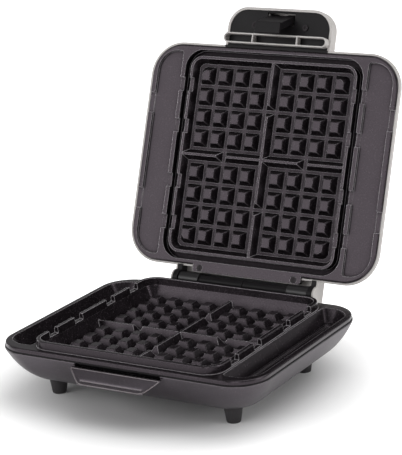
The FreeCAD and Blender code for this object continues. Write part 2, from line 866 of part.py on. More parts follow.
def stadium(trim, z):
    half_y = collar_width / 2 - trim
    return rounded_rectangle(collar_half_length - trim, half_y, half_y, z, collar_y)


def make_handle_collar():
    low = handle_under - collar_height
    frame = prism(stadium(0, low), collar_height)
    frame = frame.cut(prism(stadium(collar_wall, low), collar_height))
    half = collar_wall / 2
    ribs = []
    for side in sides:
        x = side * collar_rib_place
        reach = collar_width / 2 - half
        ribs.append(box(x - half, x + half, collar_y - reach, collar_y + reach, low, handle_under))
    return frame.fuse(ribs).removeSplitter()


def make_latch_hook():
    # Lever that hangs from its pin and reaches under the catch lip with its foot
    foot_low = latch_foot_top - latch_foot_height
    shape = [
        (latch_toe_y, foot_low + latch_toe_bevel),
        (latch_toe_y, latch_foot_top),
        (latch_inner_y, latch_foot_top),
        (latch_y + latch_hub_radius, latch_z),
        (latch_y - latch_hub_radius, latch_z),
        (latch_outer_y, latch_foot_top),
        (latch_outer_y, foot_low),
        (latch_toe_y - latch_toe_bevel, foot_low),
    ]
    width = 2 * latch_half_width
    start = (-latch_half_width, latch_y, latch_z)
    body = profile_along_x(shape, -latch_half_width, latch_half_width)
    body = body.fuse(rod(latch_hub_radius, start, right_axis, width))
    room = latch_spring_half + latch_side_gap
    spring_room = rod(latch_hub_radius + latch_side_gap, (-room, latch_y, latch_z), right_axis, 2 * room)
    bore = rod(latch_pin_radius + hinge_running_clearance, start, right_axis, width)
    return body.cut([spring_room, bore]).removeSplitter()


def make_latch_pin():
    reach = latch_half_width + latch_side_gap + latch_lug_wall
    return rod(latch_pin_radius, (-reach, latch_y, latch_z), right_axis, 2 * reach)


def make_latch_spring():
    # Close coil around the latch pin
    radius = latch_pin_radius + latch_spring_gap + latch_spring_wire
    length = 2 * (latch_spring_half - latch_spring_wire)
    helix = Part.makeHelix(length / latch_spring_turns, length, radius)
    ring = Part.Wire(Part.Circle(vector(radius, 0, 0), back_axis, latch_spring_wire).toShape())
    coil = Part.Wire(helix.Edges).makePipeShell([ring], True, True)
    coil.rotate(vector(0, 0, 0), back_axis, 90)
    coil.translate(vector(-length / 2, latch_y, latch_z))
    return coil


def make_insert_screws():
    low = insert_under - insert_screw_head_height
    length = insert_thickness + insert_screw_length - screw_clearance
    sizes = (low, insert_screw_head_radius, insert_screw_head_height, insert_screw_radius, length)
    return Part.makeCompound([screw(side * insert_screw_x, insert_screw_y, *sizes) for side in sides])


def make_upper_plate_screws():
    low = land_height + seat_gap / 2
    sizes = (low, plate_screw_head_radius, plate_screw_head_height, plate_screw_radius, plate_screw_length)
    return Part.makeCompound([screw(side * plate_screw_x, plate_screw_y, *sizes) for side in sides])


def make_element(z):
    # Bent tubular heater, with both ends at the back
    half_route = [
        (element_half_x, element_front_y),
        (element_half_x, element_back_y),
        (element_end_x, element_back_y),
        (element_end_x, element_end_y),
    ]
    left = [vector(-x, y, z) for x, y in reversed(half_route)]
    right = [vector(x, y, z) for x, y in half_route]
    return swept_rod(left + right, element_radius, element_bend)


def make_clamps(plate_z, way):
    # Three sheet straps that hold a heater against its plate
    inner = plate_z + way * (2 * element_radius + 2 * element_gap)
    outer = inner + way * clamp_sheet
    low, high = sorted((plate_z, outer))
    top_low, top_high = sorted((inner, outer))
    reach = clamp_half_length
    half = clamp_half_width
    strap = box(-reach, reach, -half, half, top_low, top_high)
    leg = box(reach - clamp_sheet, reach, -half, half, low, high)
    pattern = strap.fuse(both_sides(leg)).removeSplitter()
    clamps = []
    middle = (element_front_y + element_back_y) / 2
    for x, y, turn in ((-element_half_x, middle, 0), (element_half_x, middle, 0), (0, element_front_y, 90)):
        clamp = pattern.copy()
        clamp.rotate(vector(0, 0, 0), up_axis, turn)
        clamp.translate(vector(x, y, 0))
        clamps.append(clamp)
    return Part.makeCompound(clamps)


def make_shield(seat, way):
    # Sheet pan over the heater, open towards the plate, with room for the leads at the back
    nested = []
    for trim in (0, shield_sheet):
        plan = rounded_rectangle(shield_half_x - trim, shield_half_y - trim, shield_corner - trim, seat)
        nested.append(prism(plan, way * (shield_height - trim)))
    pan, room = nested
    low, high = sorted((seat, seat + way * shield_height))
    notch_y = shield_half_y - shield_notch_depth
    notch = box(-shield_notch_half, shield_notch_half, notch_y, shield_half_y, low, high)
    return pan.cut([room, notch])


def make_thermostat():
    low = lower_back - element_gap - thermostat_height
    body = rod(thermostat_radius, (0, thermostat_y, low), up_axis, thermostat_height)
    reach = thermostat_radius + tab_length
    half = tab_width / 2
    tabs = box(-reach, reach, thermostat_y - half, thermostat_y + half, low, low + tab_thickness)
    return body.fuse(tabs).removeSplitter()


def fuse_axis_height():
    return lower_back - fuse_clip_wall - fuse_radius - screw_clearance


def make_thermal_fuse():
    start = (fuse_x, thermostat_y - fuse_half_length, fuse_axis_height())
    return rod(fuse_radius, start, back_axis, 2 * fuse_half_length)


def make_fuse_clip():
    # Saddle that holds the fuse to the underside of the lower plate
    half = fuse_radius + screw_clearance + fuse_clip_wall
    z = fuse_axis_height()
    y0 = thermostat_y - fuse_half_length / 2
    block = box(fuse_x - half, fuse_x + half, y0, y0 + fuse_half_length, z - half, lower_back)
    return block.cut(rod(fuse_radius + screw_clearance, (fuse_x, y0, z), back_axis, fuse_half_length))


def make_terminal_block():
    low = block_place_y - block_half_y
    high = block_place_y + block_half_y
    body = box(-block_half_x, block_half_x, low, high, bowl_floor, block_top)
    cuts = []
    for x in (-element_end_x, 0, element_end_x):
        cuts.append(rod(block_bore_radius, (x, low, block_middle), back_axis, 2 * block_half_y))
        start = (x, block_place_y, block_middle)
        cuts.append(rod(block_bore_radius, start, up_axis, block_top - block_middle))
    return body.cut(cuts)


def make_base_leads():
    # From the terminal block up to the ends of the lower heater
    leads = []
    for side in sides:
        x = side * element_end_x
        route = [(block_place_y, block_middle), (lead_back_y, block_middle), (lead_back_y, element_low_z)]
        route.append((element_end_y + lead_end_gap, element_low_z))
        leads.append(swept_rod([vector(x, y, height) for y, height in route], lead_radius, lead_bend))
    return Part.makeCompound(leads)


def make_lid_leads():
    # From the ends of the upper heater towards the hinge
    start = element_end_y + lead_end_gap
    length = block_root - start
    leads = []
    for side in sides:
        leads.append(rod(lead_radius, (side * element_end_x, start, element_high_z), back_axis, length))
    return Part.makeCompound(leads)


def make_cord_gland():
    start = (gland_x, gland_face - gland_inside, gland_z)
    length = gland_inside + gland_flange + gland_nose
    body = rod(gland_body_radius, start, back_axis, length)
    flange = rod(gland_flange_radius, (gland_x, gland_face, gland_z), back_axis, gland_flange)
    bore = rod(gland_bore_radius, start, back_axis, length)
    return body.fuse(flange).cut(bore).removeSplitter()


def make_lamp_lens(side):
    x, y, z = lamp_start(side)
    stem = rod(lamp_radius, (x, y, z), up_axis, lamp_depth)
    flange = rod(lamp_flange_radius, (x, y, z + lamp_depth), up_axis, lamp_flange)
    flange = flange.makeFillet(lamp_flange_round, edges_at_height(flange, z + lamp_depth + lamp_flange))
    return stem.fuse(flange).removeSplitter()


def make_lamp_holder():
    high = lid_roof - lid_wall
    low = high - lamp_holder_height
    half = lamp_radius + lamp_clearance + lamp_holder_wall
    reach = lamp_spacing / 2 + half
    body = box(-reach, reach, -lamp_place - half, -lamp_place + half, low, high)
    cuts = []
    for side in sides:
        x, y, z = lamp_start(side)
        bore_low = low + lamp_holder_wall
        cuts.append(rod(lamp_radius + lamp_clearance, (x, y, bore_low), up_axis, high - bore_low))
        cuts.append(rod(lamp_bulb_radius + lamp_clearance, (x, y, low), up_axis, lamp_holder_wall))
    return body.cut(cuts)


def make_indicator_lamps():
    low = lid_roof - lid_wall - lamp_holder_height - lamp_holder_wall
    lamps = []
    for side in sides:
        x, y, z = lamp_start(side)
        lamps.append(rod(lamp_bulb_radius, (x, y, low), up_axis, lamp_bulb_length))
    return Part.makeCompound(lamps)


base_parts = {
    "base_housing": make_base_housing(),
    "lower_plate": make_lower_plate(),
    "front_vent_grille": make_front_vent_grille(),
    "foot_screws": make_foot_screws(),
    "hinge_pin_left": make_hinge_pin(-1),
    "hinge_pin_right": make_hinge_pin(1),
    "hinge_sleeve_left": make_hinge_sleeve(-1),
    "hinge_sleeve_right": make_hinge_sleeve(1),
    "lower_element": make_element(element_low_z),
    "lower_element_clamps": make_clamps(lower_back, -1),
    "lower_heat_shield": make_shield(lower_back - seat_gap, -1),
    "thermostat": make_thermostat(),
    "thermal_fuse": make_thermal_fuse(),
    "fuse_clip": make_fuse_clip(),
    "terminal_block": make_terminal_block(),
    "base_leads": make_base_leads(),
    "cord_gland": make_cord_gland(),
}
for x, y in foot_places():
    name = "foot_" + ("front" if y < 0 else "rear") + ("_left" if x < 0 else "_right")
    base_parts[name] = make_foot(x, y)

lid_parts = {
    "lid_housing": make_lid_housing(),
    "upper_plate": make_upper_plate(),
    "handle_insert": make_handle_insert(),
    "handle_collar": make_handle_collar(),
    "insert_screws": make_insert_screws(),
    "upper_plate_screws": make_upper_plate_screws(),
    "latch_hook": make_latch_hook(),
    "latch_pin": make_latch_pin(),
    "latch_spring": make_latch_spring(),
    "upper_element": make_element(element_high_z),
    "upper_element_clamps": make_clamps(upper_back, 1),
    "upper_heat_shield": make_shield(upper_back + seat_gap, 1),
    "lid_leads": make_lid_leads(),
    "power_lamp_lens": make_lamp_lens(-1),
    "ready_lamp_lens": make_lamp_lens(1),
    "lamp_holder": make_lamp_holder(),
    "indicator_lamps": make_indicator_lamps(),
}

os.makedirs("parts", exist_ok=True)
for name, shape in base_parts.items():
    shape.exportStep("parts/" + name + ".step")
for name, shape in lid_parts.items():
    opened(shape).exportStep("parts/" + name + ".step")
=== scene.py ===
import json
import math
import bmesh
import bpy
import numpy as np
from mathutils import Matrix, Vector


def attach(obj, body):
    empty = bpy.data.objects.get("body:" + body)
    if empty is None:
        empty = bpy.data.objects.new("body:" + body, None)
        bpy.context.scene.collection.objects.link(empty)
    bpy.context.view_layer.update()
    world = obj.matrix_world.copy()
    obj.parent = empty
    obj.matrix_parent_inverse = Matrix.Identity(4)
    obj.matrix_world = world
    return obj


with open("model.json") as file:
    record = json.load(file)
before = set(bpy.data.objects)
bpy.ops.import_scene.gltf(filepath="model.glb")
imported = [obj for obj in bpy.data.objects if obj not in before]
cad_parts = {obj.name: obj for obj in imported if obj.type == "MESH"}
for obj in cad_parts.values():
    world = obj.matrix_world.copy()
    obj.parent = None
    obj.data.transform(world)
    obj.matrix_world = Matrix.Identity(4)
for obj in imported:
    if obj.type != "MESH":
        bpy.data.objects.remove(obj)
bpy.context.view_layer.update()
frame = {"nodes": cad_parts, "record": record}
nodes = frame["nodes"]
scene = bpy.context.scene
scene.view_settings.view_transform = "Standard"
print("frame loaded:", len(nodes), "nodes")

mm = 0.001   # one millimetre in m
hingeRow = next(row for row in frame["record"]["behaviour"]["joints"] if row["name"] == "lid_hinge")
lidHinge = {"y": hingeRow["pos_m"][1] / mm, "z": hingeRow["pos_m"][2] / mm,   # mm
            "opening": hingeRow["range_deg"][1]}                              # degrees


def linear(hexColour):
    # sRGB hex to linear light: c / 12.92 for dark values, ((c + 0.055) / 1.055) ** 2.4 for the rest
    values = [int(hexColour[i:i + 2], 16) / 255 for i in (1, 3, 5)]
    return tuple(v / 12.92 if v <= 0.04045 else ((v + 0.055) / 1.055) ** 2.4 for v in values) + (1.0,)


def add(tree, kind, settings=None, inputs=None, links=None, stops=()):
    # one node with its settings, its input values, the sockets that feed it and a colour ramp's two stops
    node = tree.nodes.new(kind)
    for name, value in (settings or {}).items():
        setattr(node, name, value)
    for name, value in (inputs or {}).items():
        node.inputs[name].default_value = value
    for name, source in (links or {}).items():
        tree.links.new(source, node.inputs[name])
    for i, (position, hexColour) in enumerate(stops):
        node.color_ramp.elements[i].position = position
        node.color_ramp.elements[i].color = linear(hexColour)
    return node


def newMaterial(name):
    # empty material, its node tree and the place on the piece that patterns are read at
    material = bpy.data.materials.new(name)
    material.use_nodes = True
    tree = material.node_tree
    tree.nodes.clear()
    place = add(tree, "ShaderNodeTexCoord").outputs["Object"]
    return material, tree, place


def finishMaterial(tree, shader):
    add(tree, "ShaderNodeOutputMaterial", links={"Surface": shader.outputs[0]})


def perMetre(sizeInMm):
    # pattern scale for features of this size
    return 1.0 / (sizeInMm * mm)


def spread(before, after):
    # input values that turn the range before into the range after
    return {"From Min": before[0], "From Max": before[1], "To Min": after[0], "To Max": after[1]}


# Each finish: colours in sRGB, sizes in mm, and what the maker does to the surface; its edge colour is a
# highlight painted along the edges
finishes = {
    # graphite ABS, moulded and sprayed with a satin metallic paint: fine flake, slow change of tone
    "paintedGraphiteAbs": {
        "dark": "#4c464b", "light": "#554f55", "patch": 60.0, "flake": "#6b656a", "flakeSize": 1.2,
        "metallic": 0.75, "rough": (0.36, 0.44), "coat": 0.15, "bumpSize": 0.8, "bump": 0.04,
        "edge": "#8a8487", "edgeRadius": 0.9, "hingeDark": "#121012", "hingeDarkReach": 9.6},
    # silver ABS, moulded and sprayed: pale, with bright flake
    "paintedSilverAbs": {
        "dark": "#bfbab8", "light": "#c9c5c2", "patch": 70.0, "flake": "#dad7d4", "flakeSize": 1.2,
        "metallic": 0.15, "rough": (0.42, 0.52), "coat": 0.05, "bumpSize": 0.8, "bump": 0.03,
        "edge": "#e8e6e3", "edgeRadius": 0.9},
    # cast aluminium, grit blasted and coated with non-stick: charcoal satin film, faint orange peel
    "coatedCastAluminium": {
        "dark": "#141113", "light": "#1b171a", "patch": 35.0, "flake": "#474045", "flakeSize": 1.6,
        "metallic": 0.0, "rough": (0.17, 0.27), "coat": 0.0, "bumpSize": 1.6, "bump": 0.20,
        # the low shine in its hollows is painted shade
        "edge": "#e4dee3", "edgeRadius": 1.4, "tint": "#e9d9e6", "hollowShadeGloss": 0.04, "hollowReach": 11.0},
    # glass-filled nylon, moulded in a spark-eroded tool: black, fine matt grain
    "mouldedBlackNylon": {
        "dark": "#100e10", "light": "#171517", "patch": 25.0, "flake": "#242124", "flakeSize": 0.6,
        "metallic": 0.0, "rough": (0.36, 0.50), "coat": 0.0, "bumpSize": 0.7, "bump": 0.10,
        "edge": "#3d383c", "edgeRadius": 0.7, "specular": 0.16},
    # the same graphite paint for the catch lip's rounded edge, glossier, with a lighter colour that is a
    # painted highlight
    "paleGraphiteEdgeHighlight": {
        "dark": "#5f595c", "light": "#6b6568", "patch": 20.0, "flake": "#837d80", "flakeSize": 1.2,
        "metallic": 0.85, "rough": (0.24, 0.34), "coat": 0.2, "bumpSize": 0.8, "bump": 0.03},
    # nitrile rubber, pressed: dull, slightly dusty
    "pressedBlackRubber": {
        "dark": "#232022", "light": "#2e2b2d", "patch": 14.0, "flake": "#39363a", "flakeSize": 1.5,
        "metallic": 0.0, "rough": (0.55, 0.75), "coat": 0.0, "bumpSize": 1.2, "bump": 0.15},
    # mild steel, zinc plated: bluish grey with a faint spangle
    "zincPlatedSteel": {
        "dark": "#a9acb0", "light": "#c2c5c8", "patch": 9.0, "flake": "#d8dadd", "flakeSize": 1.4,
        "metallic": 1.0, "rough": (0.28, 0.42), "coat": 0.0, "bumpSize": 1.0, "bump": 0.05},
    # silver steel, ground: bright
    "groundSteel": {
        "dark": "#bfc0c2", "light": "#d2d3d4", "patch": 12.0, "flake": "#e3e3e4", "flakeSize": 0.5,
        "metallic": 1.0, "rough": (0.18, 0.30), "coat": 0.0, "bumpSize": 0.5, "bump": 0.04},
    # screw steel, blackened in hot oxide: near black with slightly paler grain
    "blackenedSteel": {
        "dark": "#1c191b", "light": "#262325", "patch": 4.0, "flake": "#4a4547", "flakeSize": 0.8,
        "metallic": 0.8, "rough": (0.32, 0.48), "coat": 0.0, "bumpSize": 0.6, "bump": 0.06},
    # stainless heater tube, annealed: straw and brown heat colours
    "annealedSheath": {
        "dark": "#6a5d55", "light": "#8a7d74", "patch": 22.0, "flake": "#9d9188", "flakeSize": 1.2,
        "metallic": 1.0, "rough": (0.35, 0.55), "coat": 0.0, "bumpSize": 0.9, "bump": 0.05},
    # steel sheet, hot dipped in aluminium and rolled: bright, cloudy
    "aluminisedSheet": {
        "dark": "#b8b8b6", "light": "#cfcfcd", "patch": 18.0, "flake": "#dededc", "flakeSize": 2.2,
        "metallic": 1.0, "rough": (0.25, 0.45), "coat": 0.0, "bumpSize": 2.0, "bump": 0.04},
    # phenolic resin, compression moulded: brown, mottled by its filler
    "mouldedPhenolic": {
        "dark": "#4a2a1c", "light": "#5c3726", "patch": 5.0, "flake": "#6e4733", "flakeSize": 0.9,
        "metallic": 0.0, "rough": (0.35, 0.5), "coat": 0.1, "bumpSize": 0.8, "bump": 0.05},
    # steatite, pressed and fired: warm white, thin glaze
    "firedSteatite": {
        "dark": "#e3dfd5", "light": "#efece4", "patch": 7.0, "flake": "#f6f4ee", "flakeSize": 0.8,
        "metallic": 0.0, "rough": (0.22, 0.36), "coat": 0.3, "bumpSize": 1.1, "bump": 0.05},
}

# How the patterns of every finish are read: pattern values from 0 to 1, lengths in mm
surfaceTuning = {
    "patchDetail": 4.0, "patchStops": (0.35, 0.65), "roughStops": (0.3, 0.7),
    "flakeDetail": 2.0, "flakeStops": (0.56, 0.74), "flakeShare": (0.0, 0.55),
    "grainDetail": 3.0, "grainHeight": 0.4, "coatRough": 0.25, "specular": 0.5,
    "edgeSamples": 6, "edgeTurn": (0.98, 0.72), "edgeHighlightShare": (0.0, 0.8),   # cosine of the turn at an edge, and the share of painted edge highlight at each
    "hollowSamples": 8, "hollowStops": (0.45, 0.95), "hingeDarkBlur": 0.4,
}


def paintedEdgeHighlight(tree, finish, colour):
    # edges are a little round and the film is thinner on them, so they are paler
    # painted highlight: the colour turns toward the pale edge colour where the rounded normal leans away from
    # the face, so edges show bright lines under any lamp; the rounded normal also shades them as round
    v = surfaceTuning
    soft = add(tree, "ShaderNodeBevel", {"samples": v["edgeSamples"]}, {"Radius": finish["edgeRadius"] * mm})
    facing = add(tree, "ShaderNodeNewGeometry")
    same = add(tree, "ShaderNodeVectorMath", {"operation": "DOT_PRODUCT"},
               links={0: soft.outputs["Normal"], 1: facing.outputs["Normal"]})
    highlightShare = add(tree, "ShaderNodeMapRange", inputs=spread(v["edgeTurn"], v["edgeHighlightShare"]),
               links={"Value": same.outputs["Value"]})
    paler = add(tree, "ShaderNodeMix", {"data_type": "RGBA"}, {7: linear(finish["edge"])},
                {0: highlightShare.outputs["Result"], 6: colour})
    return paler.outputs[2], soft.outputs["Normal"]


def darkNearHinge(tree, finish, place, colour):
    # the shell is dark and not metallic within this reach of the hinge line, blending over the blur width
    axis = (0.0, lidHinge["y"] * mm, lidHinge["z"] * mm)
    apart = add(tree, "ShaderNodeVectorMath", {"operation": "SUBTRACT"}, {1: axis}, {0: place})
    across = add(tree, "ShaderNodeVectorMath", {"operation": "MULTIPLY"}, {1: (0.0, 1.0, 1.0)},
                 {0: apart.outputs[0]})
    away = add(tree, "ShaderNodeVectorMath", {"operation": "LENGTH"}, links={0: across.outputs[0]})
    start = finish["hingeDarkReach"] * mm
    end = start + surfaceTuning["hingeDarkBlur"] * mm
    awayFromHinge = add(tree, "ShaderNodeMapRange", inputs=spread((start, end), (0.0, 1.0)),
                  links={"Value": away.outputs["Value"]}).outputs["Result"]
    painted = add(tree, "ShaderNodeMix", {"data_type": "RGBA"}, {6: linear(finish["hingeDark"])},
                  {0: awayFromHinge, 7: colour})
    metallic = add(tree, "ShaderNodeMath", {"operation": "MULTIPLY"}, {1: finish["metallic"]}, {0: awayFromHinge})
    return painted.outputs[2], metallic.outputs[0]


def paintedHollowShade(tree, finish, openGloss):
    # painted shade: the shine is turned down where ambient occlusion finds hollows, so the land between the
    # pyramids darkens as if shaded
    v = surfaceTuning
    openness = add(tree, "ShaderNodeAmbientOcclusion", {"samples": v["hollowSamples"], "only_local": True},
                   {"Distance": finish["hollowReach"] * mm})
    gloss = add(tree, "ShaderNodeMapRange", inputs=spread(v["hollowStops"], (finish["hollowShadeGloss"], openGloss)),
                links={"Value": openness.outputs["AO"]})
    return gloss.outputs["Result"]


def surfaceMaterial(name, finish):
    # slow patches of tone, flake or filler on top, roughness that follows the patches, fine bump
    v = surfaceTuning
    material, tree, place = newMaterial(name)
    patterns = {}
    for kind, size in (("patch", "patch"), ("flake", "flakeSize"), ("grain", "bumpSize")):
        patterns[kind] = add(tree, "ShaderNodeTexNoise",
                             inputs={"Scale": perMetre(finish[size]), "Detail": v[kind + "Detail"]},
                             links={"Vector": place}).outputs["Fac"]
    tone = add(tree, "ShaderNodeValToRGB", links={"Fac": patterns["patch"]},
               stops=zip(v["patchStops"], (finish["dark"], finish["light"])))
    flake = add(tree, "ShaderNodeMapRange", inputs=spread(v["flakeStops"], v["flakeShare"]),
                links={"Value": patterns["flake"]})
    colour = add(tree, "ShaderNodeMix", {"data_type": "RGBA"}, {7: linear(finish["flake"])},
                 {0: flake.outputs["Result"], 6: tone.outputs["Color"]}).outputs[2]
    rough = add(tree, "ShaderNodeMapRange", inputs=spread(v["roughStops"], finish["rough"]),
                links={"Value": patterns["patch"]})
    gloss = finish.get("specular", v["specular"])
    feeds = {"Roughness": rough.outputs["Result"]}
    relief = {"Height": patterns["grain"]}
    # painted highlight along the edges, mixed into the colour
    if "edge" in finish:
        colour, relief["Normal"] = paintedEdgeHighlight(tree, finish, colour)
    if "hingeDark" in finish:
        colour, feeds["Metallic"] = darkNearHinge(tree, finish, place, colour)
    # painted shade in the hollows, through a lower shine
    if "hollowShadeGloss" in finish:
        feeds["Specular IOR Level"] = paintedHollowShade(tree, finish, gloss)
    bump = add(tree, "ShaderNodeBump", links=relief,
               inputs={"Strength": finish["bump"], "Distance": v["grainHeight"] * mm})
    feeds.update({"Base Color": colour, "Normal": bump.outputs["Normal"]})
    values = {"Metallic": finish["metallic"], "Specular IOR Level": gloss,
              "Specular Tint": linear(finish.get("tint", "#ffffff")),
              "Coat Weight": finish["coat"], "Coat Roughness": v["coatRough"]}
    finishMaterial(tree, add(tree, "ShaderNodeBsdfPrincipled", inputs=values, links=feeds))
    return material


# Clear finishes: sizes in mm
clearFinishes = {
    # tinted polycarbonate lens, polished in the tool: clear colour, lightly clouded
    "tintedRedLens": {"dark": "#7d0d0a", "light": "#a8140f", "cloud": 4.0, "detail": 2.0,
                      "rough": 0.12, "ior": 1.58, "transmission": 0.35, "coat": 0.5},
    "tintedGreenLens": {"dark": "#0f5c1f", "light": "#177f2d", "cloud": 4.0, "detail": 2.0,
                        "rough": 0.12, "ior": 1.58, "transmission": 0.35, "coat": 0.5},
    # drawn soda glass of the small lamps: clear, faintly amber
    "drawnLampGlass": {"dark": "#e9dccb", "light": "#f3ebe0", "cloud": 3.0, "detail": 1.0,
                       "rough": 0.05, "ior": 1.52, "transmission": 0.8, "coat": 0.0},
}
cloudStops = (0.3, 0.7)   # pattern values of the dark and the light colour


def clearMaterial(name, finish):
    # a clear body whose colour drifts slowly between two tones
    material, tree, place = newMaterial(name)
    cloud = add(tree, "ShaderNodeTexNoise", links={"Vector": place},
                inputs={"Scale": perMetre(finish["cloud"]), "Detail": finish["detail"]})
    colour = add(tree, "ShaderNodeValToRGB", links={"Fac": cloud.outputs["Fac"]},
                 stops=zip(cloudStops, (finish["dark"], finish["light"])))
    values = {"Roughness": finish["rough"], "IOR": finish["ior"],
              "Transmission Weight": finish["transmission"], "Coat Weight": finish["coat"]}
    finishMaterial(tree, add(tree, "ShaderNodeBsdfPrincipled", inputs=values,
                             links={"Base Color": colour.outputs["Color"]}))
    return material


# Braid of the leads: lengths in mm, turn in radians
sleeving = {"pitch": 1.2, "turn": 0.7, "waver": 0.4, "stops": ((0.2, "#b9b19c"), (0.8, "#ded7c4")),
            "bump": 0.5, "height": 0.3, "rough": 0.7, "sheen": 0.2}


def sleevingMaterial(name):
    # glass-fibre sleeving, braided and varnished: two crossing sets of bands, one pitch apart
    v = sleeving
    material, tree, place = newMaterial(name)
    bands = {}
    for i, turn in enumerate((v["turn"], -v["turn"])):
        turned = add(tree, "ShaderNodeMapping", inputs={"Rotation": (turn, 0.0, turn)},
                     links={"Vector": place})
        bands[i] = add(tree, "ShaderNodeTexWave",
                       inputs={"Scale": perMetre(v["pitch"]) / (2 * math.pi), "Distortion": v["waver"]},
                       links={"Vector": turned.outputs[0]}).outputs["Fac"]
    braid = add(tree, "ShaderNodeMath", {"operation": "MAXIMUM"}, links=bands).outputs[0]
    bump = add(tree, "ShaderNodeBump", inputs={"Strength": v["bump"], "Distance": v["height"] * mm},
               links={"Height": braid})
    colour = add(tree, "ShaderNodeValToRGB", links={"Fac": braid}, stops=v["stops"])
    shader = add(tree, "ShaderNodeBsdfPrincipled",
                 inputs={"Roughness": v["rough"], "Sheen Weight": v["sheen"]},
                 links={"Base Color": colour.outputs["Color"], "Normal": bump.outputs["Normal"]})
    finishMaterial(tree, shader)
    return material


materials = {name: surfaceMaterial(name, finish) for name, finish in finishes.items()}
materials.update({name: clearMaterial(name, finish) for name, finish in clearFinishes.items()})
materials["braidedGlassSleeving"] = sleevingMaterial("braidedGlassSleeving")
slotFinish = {
    "graphite_shell": "paintedGraphiteAbs",
    "silver_shell": "paintedSilverAbs",
    "nonstick_casting": "coatedCastAluminium",
    "black_plastic": "mouldedBlackNylon",
    "black_rubber": "pressedBlackRubber",
    "zinc_steel": "zincPlatedSteel",
    "bright_steel": "groundSteel",
    "black_screw": "blackenedSteel",
    "heater_sheath": "annealedSheath",
    "aluminised_sheet": "aluminisedSheet",
    "brown_phenolic": "mouldedPhenolic",
    "white_ceramic": "firedSteatite",
    "lead_sleeving": "braidedGlassSleeving",
    "red_lens": "tintedRedLens",
    "green_lens": "tintedGreenLens",
    "clear_glass": "drawnLampGlass",
}
for row in frame["record"]["subparts"]:
    mesh = nodes[row["node"]].data
    mesh.materials.clear()
    mesh.materials.append(materials[slotFinish[row["material_slot"]]])
print("finishes set:", len(materials))


def gridFaces(rows, columns, wrapRows=False, wrapColumns=False):
    # quads between neighbouring points of a rows x columns grid; a wrap joins the last line to the first
    index = np.arange(rows * columns).reshape(rows, columns)
    if wrapRows:
        index = np.concatenate([index, index[:1]], axis=0)
    if wrapColumns:
        index = np.concatenate([index, index[:, :1]], axis=1)
    corners = [index[:-1, :-1], index[:-1, 1:], index[1:, 1:], index[1:, :-1]]
    return np.stack(corners, axis=-1).reshape(-1, 4)


def newPiece(name, points, faces, finish=None, sharpAngle=0.6):
    # mesh of the given points in m, its faces turned outward, smooth up to the sharp angle in radians
    mesh = bpy.data.meshes.new(name)
    mesh.from_pydata(points.reshape(-1, 3).tolist(), [], faces)
    shape = bmesh.new()
    shape.from_mesh(mesh)
    bmesh.ops.recalc_face_normals(shape, faces=shape.faces)
    shape.to_mesh(mesh)
    shape.free()
    mesh.polygons.foreach_set("use_smooth", np.ones(len(mesh.polygons), dtype=bool))
    mesh.set_sharp_from_angle(angle=sharpAngle)
    piece = bpy.data.objects.new(name, mesh)
    scene.collection.objects.link(piece)
    if finish:
        mesh.materials.append(materials[finish])
    return piece


def tubeFaces(stations, count):
    # faces of a closed profile of count points at each station, with a flat face at either end
    faces = gridFaces(stations, count, wrapColumns=True).tolist()
    faces.append(list(range(count)))
    faces.append(list(range((stations - 1) * count, stations * count)))
    return faces


def carriedPiece(name, rings, finish):
    # closed profile carried along a path: rings is stations x points x 3 in mm
    return newPiece(name, rings * mm, tubeFaces(*rings.shape[:2]), finish)


def alongX(profile, stations):
    # the same profile of (y, z) points at each x
    rings = np.empty((len(stations), len(profile), 3))
    rings[..., 0] = np.asarray(stations)[:, None]
    rings[..., 1:] = np.asarray(profile)[None, :, :]
    return rings


def arc(centre, radius, start, end, count):
    # points on a circle: centre + radius (cos a, sin a) from start to end, in degrees
    angle = np.radians(np.linspace(start, end, count))
    return np.stack([centre[0] + radius * np.cos(angle), centre[1] + radius * np.sin(angle)], axis=-1)


def openedUp(points):
    # lid pieces are drawn closed: turn y and z round the hinge line by the opening angle
    angle = -math.radians(lidHinge["opening"])
    across, rise = points[..., 1] - lidHinge["y"], points[..., 2] - lidHinge["z"]
    turned = points.copy()
    turned[..., 1] = lidHinge["y"] + across * math.cos(angle) - rise * math.sin(angle)
    turned[..., 2] = lidHinge["z"] + across * math.sin(angle) + rise * math.cos(angle)
    return turned


def mounted(piece, body):
    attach(piece, body)


# black liner under the roof of the hinge neck, and black covers over its two cheeks: mm and degrees
neckLiner = {"halfLength": 74.3, "front": 120.5, "back": 136.8, "low": 68.77, "high": 68.97,
             "cheekIn": 74.45, "cheekOut": 79.9, "cheekFront": 114.0, "cheekBack": 136.8,
             "cheekLow": 57.25, "cheekHigh": 68.7,
             "hub": 8.85, "hubStart": 181.6, "hubEnd": 338.0, "hubSteps": 28, "stations": 3}


def makeNeckLiner():
    # roof panel: rectangle in y and z carried along x
    v = neckLiner
    profile = [(v["front"], v["low"]), (v["back"], v["low"]), (v["back"], v["high"]), (v["front"], v["high"])]
    stations = np.linspace(-v["halfLength"], v["halfLength"], v["stations"])
    roof = carriedPiece("neckRoofLiner", openedUp(alongX(profile, stations)), "mouldedBlackNylon")
    mounted(roof, "lid")
    # cheek cover: square arm that runs into a round hub, carried along x
    hub = arc((lidHinge["y"], lidHinge["z"]), v["hub"], v["hubStart"], v["hubEnd"], v["hubSteps"])
    arm = [(v["cheekFront"], v["cheekHigh"]), (v["cheekFront"], v["cheekLow"])]
    heel = [(v["cheekBack"], lidHinge["z"]), (v["cheekBack"], v["cheekHigh"])]
    outline = np.concatenate([arm, hub, heel])
    for side, name in ((1, "cheekCoverRight"), (-1, "cheekCoverLeft")):
        rings = openedUp(alongX(outline, [side * v["cheekIn"], side * v["cheekOut"]]))
        mounted(carriedPiece(name, rings, "mouldedBlackNylon"), "lid")


